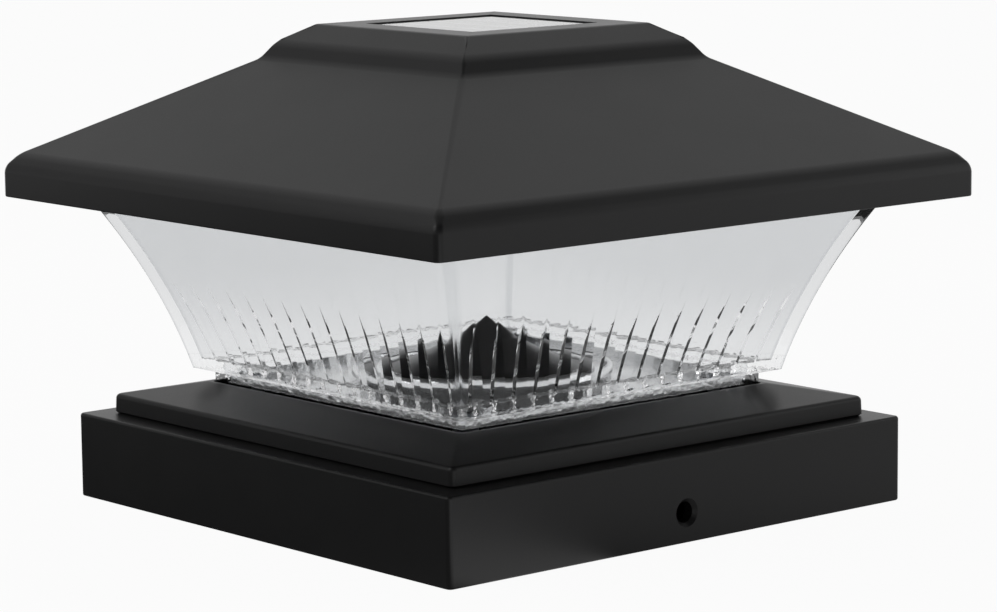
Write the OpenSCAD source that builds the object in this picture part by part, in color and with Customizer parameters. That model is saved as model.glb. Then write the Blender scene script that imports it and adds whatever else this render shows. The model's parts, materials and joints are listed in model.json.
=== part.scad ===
// Solar post cap light. A square roof holds a solar panel, a rechargeable cell
// and a small circuit. It sits on a clear, flared and fluted lens with a mirrored
// cone in it, and a two-step collar slips over the top of a square post.
// Millimetres. +Z is up, and the origin is the middle of the skirt's lower rim.
// The face with one of the two fixing holes looks along -Y.

/* [Post] */
// Width of the square post sleeve that the light slips over
post_w = 101.6; // [97:0.1:106]
// Gap left all round the post
post_gap = 0.8; // [0.4:0.1:1.4]

/* [Skirt] */
// Wall of the skirt round the post
skirt_wall = 2.6; // [2:0.1:3.4]
// Height of the skirt
skirt_h = 15.8; // [14:0.1:26]
// Thickness of the deck that rests on the post
deck_t = 2.4; // [2.2:0.1:3.4]
// Width of the square opening in the deck
deck_hole_w = 44; // [30:1:46]
// Rounding of the skirt's upright corners
skirt_r = 1.2; // [0.6:0.1:2]
// Diameter of the two fixing holes
fix_d = 3.8; // [3:0.1:4.4]
// Diameter of the countersink round a fixing hole
fix_sink_d = 5.2; // [4.8:0.1:6.4]
// Height of the fixing holes above the lower rim
fix_z = 5.4; // [4.6:0.1:8]

/* [Base cap] */
// Width of the ledge left showing round the base cap
ledge_w = 4.7; // [3:0.1:6.5]
// Height of the base cap's upright edge
step_h = 3.6; // [3:0.1:6]
// Rise of the shallow pyramid inside that edge
cap_rise = 2.5; // [1.6:0.1:3.2]
// Thickness of the base cap's floor
cap_floor_t = 2.2; // [1.6:0.1:2.6]
// Depth of the well that the lens stands in
well_deep = 2.7; // [2:0.1:3]
// Chamfer along the base cap's lower edge
cap_chamfer = 0.4; // [0.2:0.1:0.8]

/* [Lens] */
// Width of the lens neck
neck_w = 71.9; // [68:0.1:76]
// Height of neck that shows above the base cap
neck_show = 2.6; // [1.6:0.1:4]
// Overhang of the lens above its neck
lip_w = 3; // [2:0.1:4]
// Height of the flared wall
flare_h = 32.1; // [28:0.1:36]
// Lean of the flared wall at its foot, in degrees from upright
flare_lean = 14.2; // [11:0.1:16]
// Radius of the curve that the flared wall follows
flare_r = 117.4; // [110:0.1:140]
// Height of the upright rim at the top of the lens
rim_h = 2; // [1.4:0.1:3]
// Wall of the lens
lens_wall = 2; // [1.6:0.1:2.4]
// Flutes along each inner face of the lens
flutes = 15; // [9:2:19]
// Height of the flutes
flute_h = 15.5; // [12:0.5:17]
// Depth of a flute at its foot
flute_deep = 1.5; // [0.8:0.1:1.8]

/* [Reflector] */
// Diameter of the cone's foot
cone_d = 55; // [40:1:58]
// Height of the cone
cone_h = 12; // [8:0.5:14]
// Lean of the cone's flank at its foot, in degrees from level
cone_foot = 8; // [4:1:14]
// Thickness of the reflector
mirror_t = 1; // [0.8:0.1:1.4]
// Height of the turned-up rim of the reflector
mirror_rim = 1.4; // [0.8:0.1:2]

/* [Roof] */
// Width of the roof over its brim
roof_w = 127; // [125:0.5:134]
// Height of the upright brim
brim_h = 5.6; // [5:0.1:8]
// Overlap of the brim below the top of the lens
brim_lap = 2; // [1:0.1:4]
// Run of the chamfer above the brim
chamfer_run = 2; // [1.2:0.1:3]
// Rise of the chamfer above the brim
chamfer_rise = 2.4; // [1.4:0.1:3]
// Rise of the long roof slope
slope_rise = 17.6; // [17:0.1:22]
// Width at the foot of the crown
crown_w = 58.3; // [56:0.1:64]
// Run of the crown's steep side
riser_run = 2.1; // [1.4:0.1:3]
// Rise of the crown's steep side
riser_rise = 3; // [2:0.1:5]
// Rise of the crown's upper slope
top_rise = 3.3; // [2.4:0.1:5]
// Width of the flat plate on top
plate_w = 43.1; // [40:0.1:46]
// Wall of the roof
roof_wall = 2.2; // [1.8:0.1:2.6]
// Rounding of the brim's upright corners
brim_r = 1.6; // [0.8:0.1:2.4]

/* [Solar panel] */
// Width of the square panel
panel_w = 29.6; // [26:0.2:34]
// Gap all round the panel
panel_gap = 0.3; // [0.2:0.1:0.6]
// Depth of the recess that holds the panel
panel_deep = 2; // [1.9:0.1:2.4]
// Thickness of the foam under the panel
foam_t = 0.5; // [0.4:0.1:0.6]
// Thickness of the panel's board
panel_board_t = 0.7; // [0.5:0.1:0.8]
// Thickness of the cells
cell_t = 0.2; // [0.2:0.05:0.3]
// Thickness of the clear cover over the cells
glaze_t = 0.4; // [0.3:0.1:0.5]
// Cell strips side by side
cell_count = 4; // [2:1:8]
// Gap between cell strips
cell_gap = 0.8; // [0.4:0.1:1.4]

/* [Head tray] */
// Thickness of the tray under the roof
tray_t = 2.4; // [2:0.1:3]
// Gap between the tray and the brim
tray_gap = 0.5; // [0.3:0.1:1]
// Depth of the spigot that drops into the lens
spigot_deep = 3; // [2:0.1:4]
// Wall of the spigot and of the battery bay
rib_t = 1.4; // [1:0.1:1.8]
// Thickness of the seal on the lens rim
seal_t = 1; // [0.8:0.1:1.6]
// Distance of the tray's screws from the middle, each way
tray_screw_at = 40; // [38:0.5:43]

/* [Battery] */
// Diameter of the rechargeable cell
batt_d = 14.5; // [13.5:0.1:14.5]
// Length of the rechargeable cell with its nub
batt_l = 50.5; // [46:0.1:50.5]
// Distance of the cell's axis from the middle of the light
batt_y = 20; // [19.5:0.1:21]
// Slack round the cell in its bay
batt_slack = 0.45; // [0.3:0.05:0.6]
// Length of the contact spring in place
spring_l = 4.1; // [3:0.1:5]
// Turns of the contact spring
spring_turns = 3; // [2:1:4]
// Diameter of the spring wire
spring_wire = 0.7; // [0.5:0.1:0.8]

/* [Switch] */
// Travel of the slide switch
switch_travel = 2.5; // [1.5:0.1:3]
// Length of the switch body
switch_l = 12.7; // [12:0.1:14]
// Width of the switch body
switch_w = 6.6; // [6:0.1:8]
// Height of the switch body
switch_h = 5.2; // [4:0.1:6]
// Length of the slider's stem
stem_l = 3.6; // [2.5:0.1:4.5]
// How far the slider's stem stands out of the tray
stem_out = 1.6; // [1:0.1:2.5]

/* [Circuit] */
// Length of the circuit board along Y
board_l = 34; // [32:1:36]
// Width of the circuit board along X
board_w = 36; // [34:1:38]
// Thickness of the circuit board
board_t = 1.6; // [1.2:0.1:2]
// Height of the board above the tray
board_lift = 3; // [2.5:0.1:4]
// Diameter of the light-emitting diode
led_d = 5; // [4:0.1:5]
// Length of the light-emitting diode
led_l = 8.6; // [6:0.1:9]
// Diameter of the wires
wire_d = 1.2; // [0.8:0.1:1.4]

/* [Screws] */
// Thread diameter of the case screws
screw_d = 3; // [2.6:0.1:3.2]
// Length of the base screws
base_screw_l = 11; // [10:0.5:12]
// Length of the tray screws
tray_screw_l = 10; // [8:0.5:11]
// Thread diameter of the battery door screw
door_screw_d = 2.2; // [2:0.1:2.4]
// Length of the battery door screw
door_screw_l = 6; // [5:0.5:8]

/* [Hidden] */
$fn = 48;

// Small clearances
slip = 0.1;       // round a screw or peg in its hole
fit_gap = 0.3;    // between moulded pieces that drop together
past = 1;         // how far a cut runs past a face

// Half widths of the base
socket_half = post_w / 2 + post_gap;
skirt_half = socket_half + skirt_wall;
cap_half = skirt_half - ledge_w;
neck_half = neck_w / 2;
well_half = neck_half + fit_gap;
well_land = 0.8;  // flat land round the well
fix_sink_deep = (fix_sink_d - fix_d) / 2;

// Levels, from the lower rim up
z_deck = skirt_h - deck_t;
z_ledge = skirt_h;
z_step = z_ledge + step_h;
z_cap = z_step + cap_rise;
z_well = z_cap - well_deep;
base_seal_t = 0.8;
z_neck = z_well + base_seal_t;
z_lip = z_cap + neck_show;
z_flare = z_lip + flare_h;
z_rim = z_flare + rim_h;
z_tray = z_rim + seal_t;
z_tray_top = z_tray + tray_t;
z_brim = z_rim - brim_lap;
z_chamfer = z_brim + brim_h;
z_slope = z_chamfer + chamfer_rise;
z_crown = z_slope + slope_rise;
z_riser = z_crown + riser_rise;
z_top = z_riser + top_rise;

// Lens
lip_half = neck_half + lip_w;
lens_floor_t = 1.8;
z_lens_floor = z_neck + lens_floor_t;
z_shelf = z_lip + lens_wall;
neck_in = neck_half - lens_wall;
flare_steps = 12;
ridge_sunk = 0.15;   // depth of the ridges' roots inside the wall
ridge_strip = 0.2;   // thickness of the strip that joins them
ridge_end = 0.3;     // gap from the last ridge to the corner
flute_run = 1.2;     // length of a flute's ridge over its height in sight
flute_pitch = 2 * (lens_in(lens_wall) - ridge_end) / flutes;
neck_flute_deep = flute_deep / 2;
boss_r = 3.6;
base_screw_at = neck_in - boss_r - 1.2;
z_base_screw_tip = z_deck + base_screw_l;
z_lens_boss = z_base_screw_tip + 1;

// Reflector
mirror_half = neck_in - 0.35;
z_mirror = z_lens_floor + mirror_t;
// The cone's flank is an arc that leans by cone_foot at its foot
cone_rise_angle = atan(cone_h / (cone_d / 2));
cone_tip = 2 * cone_rise_angle - cone_foot;
cone_arc_r = cone_d / 2 / (sin(cone_tip) - sin(cone_foot));

// Roof
roof_half = roof_w / 2;
slope_foot = roof_half - chamfer_run;
roof_path = [
    [roof_half, z_brim],
    [roof_half, z_chamfer],
    [slope_foot, z_slope],
    [crown_w / 2, z_crown],
    [crown_w / 2 - riser_run, z_riser],
    [plate_w / 2, z_top]
];
panel_half = panel_w / 2;
recess_half = panel_half + panel_gap;
pad_half = recess_half + roof_wall;
z_shelf_top = z_top - panel_deep;
panel_shelf_t = 1.8;
panel_ledge = 5;
wire_hole_half = panel_half - panel_ledge;
z_panel = z_shelf_top + foam_t;
z_cells = z_panel + panel_board_t;
z_glaze = z_cells + cell_t;
boss_out_r = 3.5;

// Tray, bay and door
tray_half = roof_half - roof_wall - tray_gap;
rim_in = lens_in(flare_h);
spigot_half = rim_in - 0.7;
bay_half_w = batt_d / 2 + batt_slack;
contact_t = 0.4;
dimple_l = 0.8;
bay_l = batt_l + spring_l + dimple_l + 2 * contact_t;
bay_out = bay_l / 2 + rib_t;
z_rebate = z_tray + tray_t / 2;
door_lip = 1.2;   // how far the door laps the edge of the bay's mouth
door_tab = 9;     // how far the door runs on past the bay to take its screw
door_screw_x = bay_out + 4;
door_end = bay_l / 2 + door_tab;
door_boss_r = 3.2;
door_plug_t = 0.8;
z_batt = z_tray_top + fit_gap + slip + batt_d / 2;
z_bay_top = z_batt + batt_d / 2 + fit_gap;
bay_roof_t = 1;
batt_x0 = -bay_l / 2 + contact_t + spring_l;
nub_l = 1;
nub_r = 2.75;
sleeve_t = 0.15;
contact_h = 10;
wire_y = batt_y - 4;
wire_hole_r = wire_d / 2 + 0.3;

// Circuit board, on four pegs; the diode hangs from it on the light's axis
board_past_axis = 8;
board_y = board_l / 2 - board_past_axis;
board_peg = 3;    // distance of a peg from the board's edges
peg_r = 1;
z_board = z_tray_top + board_lift;
z_board_top = z_board + board_t;
led_flange_r = led_d / 2 + 0.4;
led_leg = 0.5;
led_leg_at = 1.27;
z_led = z_board - 1;
pad_inset = 4;    // distance of a solder pad from the board's long edge
pad_x = board_w / 2 - pad_inset;
board_mid = -board_y;
board_near = -board_l / 2 - board_y;

// Parts on the board, placed from its middle
blob_ball_r = 4.2;
blob_r = 4;
blob_sunk = 2.5;
blob_y = -3;
part_x = 8;
part_y = -2;
choke_r = 1.3;
choke_l = 7;
storage_x = -9;
storage_r = 2.5;
storage_h = 6;
transistor_y = 7;
transistor_r = 2.3;
transistor_h = 4.6;
transistor_flat = 1.5;
chip_size = [3.2, 1.6, 1];
chip_y = 6;
chip_pitch = 4;

// Leads: where they start and how far they run on straight before they bend
solar_lead_x = 3;
solar_lead_y = -6;
solar_lead_drop = 9;
solar_pad_inset = 5;
battery_lead_out = 14;
battery_lead_up = 8;
switch_lead_up = 6;

// Switch, on the tray beside the board
switch_beside = 5;
switch_x = board_w / 2 + switch_beside + switch_l / 2;
switch_y = -14;
switch_wall = 0.6;
stem_w = 2.6;
toe_l = stem_l + 2.4;
slot_gap = 0.3;
switch_wire_at = 2.5;

// Screw heads
head_r = screw_d * 0.95;
head_h = screw_d * 0.55;
sink_head_h = head_r - screw_d / 2;
door_head_r = door_screw_d * 0.9;
door_head_h = door_head_r - door_screw_d / 2;

// How far the flared wall stands out past the lip, at height h above the lip
function flare_angle(h) = asin(sin(flare_lean) + h / flare_r);
function flare_out(h) = flare_r * (cos(flare_lean) - cos(flare_angle(h)));
function lens_half(h) = lip_half + flare_out(h);
function lens_in(h) = lens_half(h) - lens_wall / cos(flare_angle(h));

// A path moved in by t: each point goes to where its two moved edges meet
function unit(v) = v / norm(v);
function inward(v) = [-v[1], v[0]];
function mitre(n, m, t) = (n + m) * t / (1 + n * m);
function inset(path, t) = [
    for (i = [1 : len(path) - 2])
        path[i] + mitre(inward(unit(path[i] - path[i - 1])),
                        inward(unit(path[i + 1] - path[i])), t)
];

// A smooth route between two ends, each leaving straight along its own direction
function bend(a, da, b, db, steps) = [
    for (i = [0 : steps])
        let (t = i / steps, s = 1 - t)
        a * s * s * s + (a + da) * 3 * s * s * t
            + (b + db) * 3 * s * t * t + b * t * t * t
];
function route(a, da, b, db, steps) = concat(
    [a],
    bend(a + unit(da) * wire_d, da, b + unit(db) * wire_d, db, steps),
    [b]
);
function along(p, i) = unit(p[min(i + 1, len(p) - 1)] - p[max(i - 1, 0)]);

// A round tube swept along a route; "up" is any direction it never runs along
module tube(p, r, up, sides = 8) {
    points = [
        for (i = [0 : len(p) - 1])
            let (u = unit(cross(along(p, i), up)), v = cross(along(p, i), u))
            for (k = [0 : sides - 1])
                p[i] + r * (cos(360 * k / sides) * u + sin(360 * k / sides) * v)
    ];
    last = (len(p) - 1) * sides;
    walls = [
        for (i = [0 : len(p) - 2])
            for (k = [0 : sides - 1])
                let (a = i * sides + k, b = i * sides + (k + 1) % sides)
                each [[a, b + sides, b], [a, a + sides, b + sides]]
    ];
    near_end = [for (k = [0 : sides - 1]) k];
    far_end = [for (k = [0 : sides - 1]) last + sides - 1 - k];
    polyhedron(points, concat(walls, [near_end, far_end]), convexity = 6);
}

// A solid that is square at every level, from a path of half widths and heights
module square_solid(path) {
    reach = 2 * max([for (p = path) p[0]]) + 2 * past;
    other_side = [for (i = [len(path) - 1 : -1 : 0]) [-path[i][0], path[i][1]]];
    intersection() {
        rotate([90, 0, 0])
            linear_extrude(reach, center = true)
                polygon(concat(path, other_side));
        rotate([90, 0, 90])
            linear_extrude(reach, center = true)
                polygon(concat(path, other_side));
    }
}

module block(half, z0, z1) {
    translate([0, 0, (z0 + z1) / 2])
        cube([2 * half, 2 * half, z1 - z0], center = true);
}

module frame(out_half, in_half, z0, z1) {
    difference() {
        block(out_half, z0, z1);
        block(in_half, z0 - past, z1 + past);
    }
}

module rounded_block(half, r, z0, z1) {
    translate([0, 0, z0])
        linear_extrude(z1 - z0) {
            square([2 * half, 2 * (half - r)], center = true);
            square([2 * (half - r), 2 * half], center = true);
            for (x = [-1, 1], y = [-1, 1])
                translate([x * (half - r), y * (half - r)])
                    circle(r);
        }
}

module at_corners(d) {
    for (x = [-1, 1], y = [-1, 1])
        translate([x * d, y * d, 0])
            children();
}

module post(r, z0, z1) {
    translate([0, 0, z0])
        cylinder(r = r, h = z1 - z0);
}

// A cross recess in a screw head that faces down, its mouth at z
module cross_recess(r, z) {
    for (a = [0, 90])
        rotate(a)
            translate([0, 0, z + r / 4])
                cube([1.5 * r, 0.3 * r, r / 2], center = true);
}

// The skirt: a square tube that slips over the post, closed by a deck
module post_skirt() {
    color([0.05, 0.05, 0.05])
    difference() {
        rounded_block(skirt_half, skirt_r, 0, z_ledge);
        block(socket_half, -past, z_deck);
        block(deck_hole_w / 2, 0, z_ledge + past);
        at_corners(base_screw_at) {
            post(screw_d / 2 + slip, 0, z_ledge + past);
            translate([0, 0, z_deck - slip])
                cylinder(r1 = head_r + 2 * slip, r2 = screw_d / 2 + slip, h = sink_head_h + slip);
        }
        for (side = [0, 180])
            rotate(side)
                translate([0, -skirt_half, fix_z])
                    rotate([-90, 0, 0]) {
                        translate([0, 0, -past])
                            cylinder(d = fix_d, h = skirt_wall + 2 * past);
                        cylinder(d1 = fix_sink_d, d2 = fix_d, h = fix_sink_deep);
                    }
    }
}

// The base cap: an upright step and a shallow pyramid with a well for the lens
module base_cap() {
    color([0.06, 0.06, 0.06])
    difference() {
        square_solid([
            [cap_half - cap_chamfer, z_ledge],
            [cap_half, z_ledge + cap_chamfer],
            [cap_half - 0.1, z_step],
            [well_half + well_land, z_cap]
        ]);
        block(well_half, z_well, z_cap + past);
        difference() {
            block(cap_half - roof_wall, z_ledge - past, z_well - cap_floor_t);
            at_corners(base_screw_at)
                post(boss_r, z_ledge - 2 * past, z_well);
        }
        at_corners(base_screw_at)
            post(screw_d / 2 + slip, 0, z_cap);
    }
}

// A flat rubber ring that keeps rain out between the lens and the base cap
module base_seal() {
    color([0.1, 0.1, 0.1])
    difference() {
        frame(neck_half, neck_in - 2 * boss_r - 2, z_well, z_neck);
        at_corners(base_screw_at)
            post(screw_d / 2 + slip, z_well - past, z_neck + past);
    }
}

// Four countersunk screws from below, through deck and cap into the lens
module base_screws() {
    color([0.7, 0.7, 0.72])
    at_corners(base_screw_at)
        difference() {
            union() {
                post(screw_d / 2, z_deck, z_base_screw_tip);
                translate([0, 0, z_deck])
                    cylinder(r1 = head_r, r2 = screw_d / 2, h = sink_head_h);
            }
            cross_recess(head_r, z_deck - slip);
        }
}

// Ridges side by side, their tips along y = 0, on a thin strip that joins them
module ridges(pitch, deep, h) {
    edge = [
        for (i = [0 : 2 * flutes])
            [(i - flutes) * pitch / 2, i % 2 == 0 ? deep : 0]
    ];
    half_row = flutes * pitch / 2;
    back = deep + ridge_strip;
    linear_extrude(h)
        polygon(concat(edge, [[half_row, back], [-half_row, back]]));
}

// Ridges up one inner face: they lean more than the wall, and so sink into it
// at flute_h above the shelf
module flute_row() {
    foot = lens_in(lens_wall) - flute_deep;
    lean = atan((lens_in(lens_wall + flute_h) - foot) / flute_h);
    translate([0, foot, z_shelf])
        rotate([-lean, 0, 0])
            translate([0, 0, -past])
                ridges(flute_pitch, (flute_deep + ridge_sunk) * cos(lean),
                       past + flute_run * flute_h);
}

// Lower, upright ridges round the inside of the neck
module neck_row() {
    z0 = z_mirror + mirror_rim + fit_gap;
    pitch = 2 * (neck_in - ridge_end) / flutes;
    translate([0, neck_in - neck_flute_deep, z0])
        ridges(pitch, neck_flute_deep + ridge_sunk, z_shelf - slip - z0);
}

// Flared wall of the lens: outside of it, or inside with its own floor level
function flare_path(half_at) = [
    for (i = [0 : flare_steps])
        let (h = flare_h * i / flare_steps)
        [half_at(h), z_lip + h]
];

module lens() {
    outer = concat(
        [[neck_half, z_neck], [neck_half, z_lip]],
        flare_path(function(h) lens_half(h)),
        [[lens_half(flare_h), z_rim]]
    );
    wall_in = [
        for (i = [0 : flare_steps])
            let (h = lens_wall + (flare_h - lens_wall) * i / flare_steps)
            [lens_in(h), z_lip + h]
    ];
    inner = concat(
        [[neck_in, z_lens_floor], [neck_in, z_shelf]],
        wall_in,
        [[rim_in, z_rim + past]]
    );
    color([0.85, 0.88, 0.9, 0.35])
    difference() {
        union() {
            difference() {
                square_solid(outer);
                square_solid(inner);
            }
            for (side = [0 : 90 : 270])
                rotate(side) {
                    flute_row();
                    neck_row();
                }
            at_corners(base_screw_at)
                post(boss_r, z_lens_floor - past, z_lens_boss);
        }
        at_corners(base_screw_at)
            post(screw_d / 2 + slip, z_neck - past, z_base_screw_tip + slip);
    }
}

// Profile of the cone's flank, moved down by t
function cone_profile(t, steps = 16) = [
    for (i = [0 : steps])
        let (a = cone_foot + (cone_tip - cone_foot) * i / steps)
        [cone_arc_r * (sin(cone_tip) - sin(a)),
         z_mirror - t + cone_arc_r * (cos(cone_foot) - cos(a))]
];

// The mirrored tray in the foot of the lens, with a cone under the diode
module reflector() {
    color([0.8, 0.8, 0.82])
    difference() {
        union() {
            block(mirror_half, z_lens_floor, z_mirror);
            frame(mirror_half, mirror_half - mirror_t, z_lens_floor, z_mirror + mirror_rim);
            rotate_extrude()
                polygon(concat([[0, z_lens_floor], [cone_d / 2, z_lens_floor]], cone_profile(0)));
        }
        intersection() {
            rotate_extrude()
                polygon(concat([[0, z_lens_floor - past], [cone_d / 2, z_lens_floor - past]],
                               cone_profile(mirror_t + slip)));
            block(lip_half, z_lens_floor - past, z_top);
        }
        at_corners(base_screw_at)
            post(boss_r + fit_gap, z_lens_floor - past, z_lens_boss);
    }
}

// The roof: a hollow stepped pyramid with a recess for the panel on top
module roof_cap() {
    whole = concat([[roof_half, z_brim - 2 * past]], roof_path, [[0, z_top]]);
    color([0.07, 0.07, 0.07])
    difference() {
        intersection() {
            square_solid(roof_path);
            rounded_block(roof_half, brim_r, z_brim, z_top);
        }
        difference() {
            square_solid(concat([[roof_half - roof_wall, z_brim - past]], inset(whole, roof_wall)));
            at_corners(tray_screw_at)
                post(boss_out_r, z_tray_top, z_top);
            block(pad_half, z_shelf_top - panel_shelf_t, z_top);
        }
        block(recess_half, z_shelf_top, z_top + past);
        block(wire_hole_half, z_crown, z_top);
        at_corners(tray_screw_at)
            post(screw_d / 2 + slip, z_brim, z_tray + tray_screw_l + slip);
    }
}

// Foam that beds and seals the panel
module panel_foam() {
    color([0.12, 0.12, 0.12])
        frame(panel_half, wire_hole_half, z_shelf_top, z_panel);
}

module panel_board() {
    color([0.1, 0.25, 0.15])
        block(panel_half, z_panel, z_cells);
}

module solar_cells() {
    field = panel_w - 4 * cell_gap;
    pitch = (field + cell_gap) / cell_count;
    color([0.1, 0.13, 0.25])
    for (i = [0 : cell_count - 1])
        translate([-field / 2 + i * pitch, -field / 2, z_cells])
            cube([pitch - cell_gap, field, cell_t]);
}

// Clear cover: it lies on the cells, and its edge comes down to the board
module panel_glaze() {
    color([0.8, 0.82, 0.85, 0.4]) {
        block(panel_half, z_glaze, z_glaze + glaze_t);
        frame(panel_half, panel_half - cell_gap, z_cells, z_glaze + glaze_t);
    }
}

// Battery bay, measured from the middle of its mouth
module bay_space(z0, z1, grow) {
    translate([0, batt_y, (z0 + z1) / 2])
        cube([bay_l + 2 * grow, 2 * (bay_half_w + grow), z1 - z0], center = true);
}

// Outline of the battery door, grown by g all round
module door_plate(z0, z1, g) {
    x0 = -bay_l / 2 - door_lip - g;
    half_y = bay_half_w + door_lip + g;
    translate([x0, batt_y - half_y, z0])
        cube([door_end + g - x0, 2 * half_y, z1 - z0]);
}

module at_pegs() {
    for (x = [-1, 1], y = [-1, 1])
        translate([x * (board_w / 2 - board_peg), y * (board_l / 2 - board_peg) - board_y, 0])
            children();
}

// The tray: closes the roof from below and carries everything electrical
module head_tray() {
    color([0.09, 0.09, 0.09])
    difference() {
        union() {
            block(tray_half, z_tray, z_tray_top);
            frame(spigot_half, spigot_half - rib_t, z_tray - spigot_deep, z_tray + slip);
            bay_space(z_tray_top - past, z_bay_top + bay_roof_t, rib_t);
            translate([door_screw_x, batt_y, 0])
                post(door_boss_r, z_tray_top - past, z_tray + door_screw_l + past);
            at_pegs() {
                post(2 * peg_r, z_tray_top - past, z_board);
                post(peg_r, z_tray_top - past, z_board_top + peg_r);
            }
        }
        bay_space(z_tray - past, z_bay_top, 0);
        door_plate(z_tray - past, z_rebate, fit_gap);
        translate([door_screw_x, batt_y, 0])
            post(door_screw_d / 2 + slip, z_tray - past, z_tray + door_screw_l + slip);
        for (x = [-1, 1])
            translate([x * bay_out, wire_y, z_batt])
                rotate([0, 90, 0])
                    cylinder(r = wire_hole_r, h = 4 * rib_t, center = true);
        post(led_d / 2 + fit_gap, z_tray - past, z_tray_top + past);
        slot(z_tray - past, z_tray_top + past);
        at_corners(tray_screw_at)
            post(screw_d / 2 + slip, z_tray - past, z_tray_top + past);
    }
}

// Slot that the slider's stem runs in; at rest the stem is at its -X end
module slot(z0, z1) {
    translate([switch_x - stem_l / 2 - slot_gap, switch_y - stem_w / 2 - slot_gap, z0])
        cube([stem_l + switch_travel + 2 * slot_gap, stem_w + 2 * slot_gap, z1 - z0]);
}

// A soft ring between the tray and the lens rim
module lens_seal() {
    color([0.12, 0.12, 0.12])
        frame(lens_half(flare_h), rim_in, z_rim, z_tray);
}

module tray_screws() {
    color([0.7, 0.7, 0.72])
    at_corners(tray_screw_at)
        difference() {
            union() {
                post(screw_d / 2, z_tray - head_h / 2, z_tray + tray_screw_l);
                post(head_r, z_tray - head_h, z_tray);
            }
            cross_recess(head_r, z_tray - head_h - slip);
        }
}

// Battery, lying along X with its nub towards +X
module along_x(x0, x1, r) {
    translate([x0, batt_y, z_batt])
        rotate([0, 90, 0])
            cylinder(r = r, h = x1 - x0);
}

module battery_can() {
    can_r = batt_d / 2 - sleeve_t;
    color([0.75, 0.75, 0.77]) {
        along_x(batt_x0, batt_x0 + batt_l - nub_l, can_r);
        along_x(batt_x0 + batt_l - nub_l - slip, batt_x0 + batt_l, nub_r);
    }
}

module battery_sleeve() {
    color([0.1, 0.35, 0.2])
    difference() {
        along_x(batt_x0 + 0.5, batt_x0 + batt_l - nub_l - 0.5, batt_d / 2);
        along_x(batt_x0, batt_x0 + batt_l, batt_d / 2 - sleeve_t);
    }
}

// Contact plate on the bay's end wall, its inner face towards the cell
module contact_plate(x0) {
    translate([x0, batt_y - contact_h / 2, z_batt - contact_h / 2])
        cube([contact_t, contact_h, contact_h]);
}

// Negative contact: a conical coil wound from the plate to the can
module battery_spring() {
    x0 = -bay_l / 2 + contact_t;
    r0 = batt_d / 4;
    r1 = batt_d / 7;
    sunk = spring_wire / 4;
    run = spring_l - spring_wire + sunk - slip / 2;
    steps = 16 * spring_turns;
    coil = [
        for (i = [0 : steps])
            let (t = i / steps, a = 360 * spring_turns * t, r = r0 + (r1 - r0) * t)
            [x0 + spring_wire / 2 - sunk + run * t, batt_y + r * cos(a), z_batt + r * sin(a)]
    ];
    color([0.72, 0.7, 0.65]) {
        contact_plate(-bay_l / 2);
        tube(coil, spring_wire / 2, [1, 0, 0], 6);
    }
}

module battery_tab() {
    x1 = bay_l / 2 - contact_t;
    color([0.72, 0.7, 0.65]) {
        contact_plate(x1);
        along_x(x1 - dimple_l, x1 + contact_t / 2, nub_r / 2);
    }
}

module circuit_board() {
    color([0.1, 0.35, 0.2])
    difference() {
        translate([-board_w / 2, board_near, z_board])
            cube([board_w, board_l, board_t]);
        at_pegs()
            post(peg_r + slip, z_board - past, z_board_top + past);
        for (x = [-1, 1])
            translate([x * led_leg_at, 0, 0])
                post(led_leg, z_board - past, z_board_top + past);
    }
}

// Charging chip under its blob, choke, capacitor, transistor and two chip resistors
module board_parts() {
    z = z_board_top;
    color([0.05, 0.05, 0.05])
        translate([0, board_mid + blob_y, z])
            intersection() {
                translate([0, 0, -blob_sunk])
                    sphere(blob_ball_r);
                post(blob_r, 0, blob_r);
            }
    color([0.15, 0.4, 0.3])
        translate([part_x, board_mid + part_y, z + choke_r])
            rotate([90, 0, 0])
                cylinder(r = choke_r, h = choke_l, center = true);
    color([0.12, 0.12, 0.3])
        translate([storage_x, board_mid + part_y, 0])
            post(storage_r, z, z + storage_h);
    color([0.08, 0.08, 0.08])
        translate([part_x, board_mid + transistor_y, z])
            linear_extrude(transistor_h)
                intersection() {
                    circle(transistor_r);
                    translate([0, transistor_flat - 2 * transistor_r])
                        square(4 * transistor_r, center = true);
                }
    color([0.75, 0.65, 0.5])
    for (i = [0, 1])
        translate([-part_x, board_mid + chip_y + i * chip_pitch, z + chip_size[2] / 2])
            cube(chip_size, center = true);
}

// Diode on the axis, dome down, over the tip of the cone
module led() {
    color([0.9, 0.9, 0.85, 0.6])
    rotate_extrude()
        polygon(concat(
            [[0, z_led], [led_flange_r, z_led], [led_flange_r, z_led - 1], [led_d / 2, z_led - 1]],
            [for (a = [0 : 15 : 90])
                [led_d / 2 * cos(a), z_led - led_l + led_d / 2 * (1 - sin(a))]]
        ));
}

module led_legs() {
    color([0.75, 0.75, 0.77])
    for (x = [-1, 1])
        translate([x * led_leg_at, 0, (z_led + z_board_top + 1) / 2])
            cube([led_leg, led_leg, z_board_top + 1 - z_led], center = true);
}

module switch_body() {
    inner = [switch_l - 2 * switch_wall, switch_w - 2 * switch_wall, switch_h - 2 * switch_wall];
    color([0.6, 0.6, 0.62])
    difference() {
        translate([switch_x + switch_travel / 2, switch_y, z_tray_top + switch_h / 2])
            cube([switch_l, switch_w, switch_h], center = true);
        translate([switch_x + switch_travel / 2, switch_y, z_tray_top + switch_h / 2])
            cube(inner, center = true);
        slot(z_tray_top - past, z_tray_top + 2 * switch_wall);
    }
}

// Slider: a toe inside the body and a stem that comes out under the tray
module switch_slider() {
    toe_z = z_tray_top + switch_wall + slip;
    color([0.85, 0.85, 0.83]) {
        translate([switch_x, switch_y, (z_tray - stem_out + toe_z) / 2])
            cube([stem_l, stem_w, toe_z + slip - z_tray + stem_out], center = true);
        translate([switch_x, switch_y, toe_z + 0.5])
            cube([toe_l, stem_w + 2, 1], center = true);
    }
}

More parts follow.
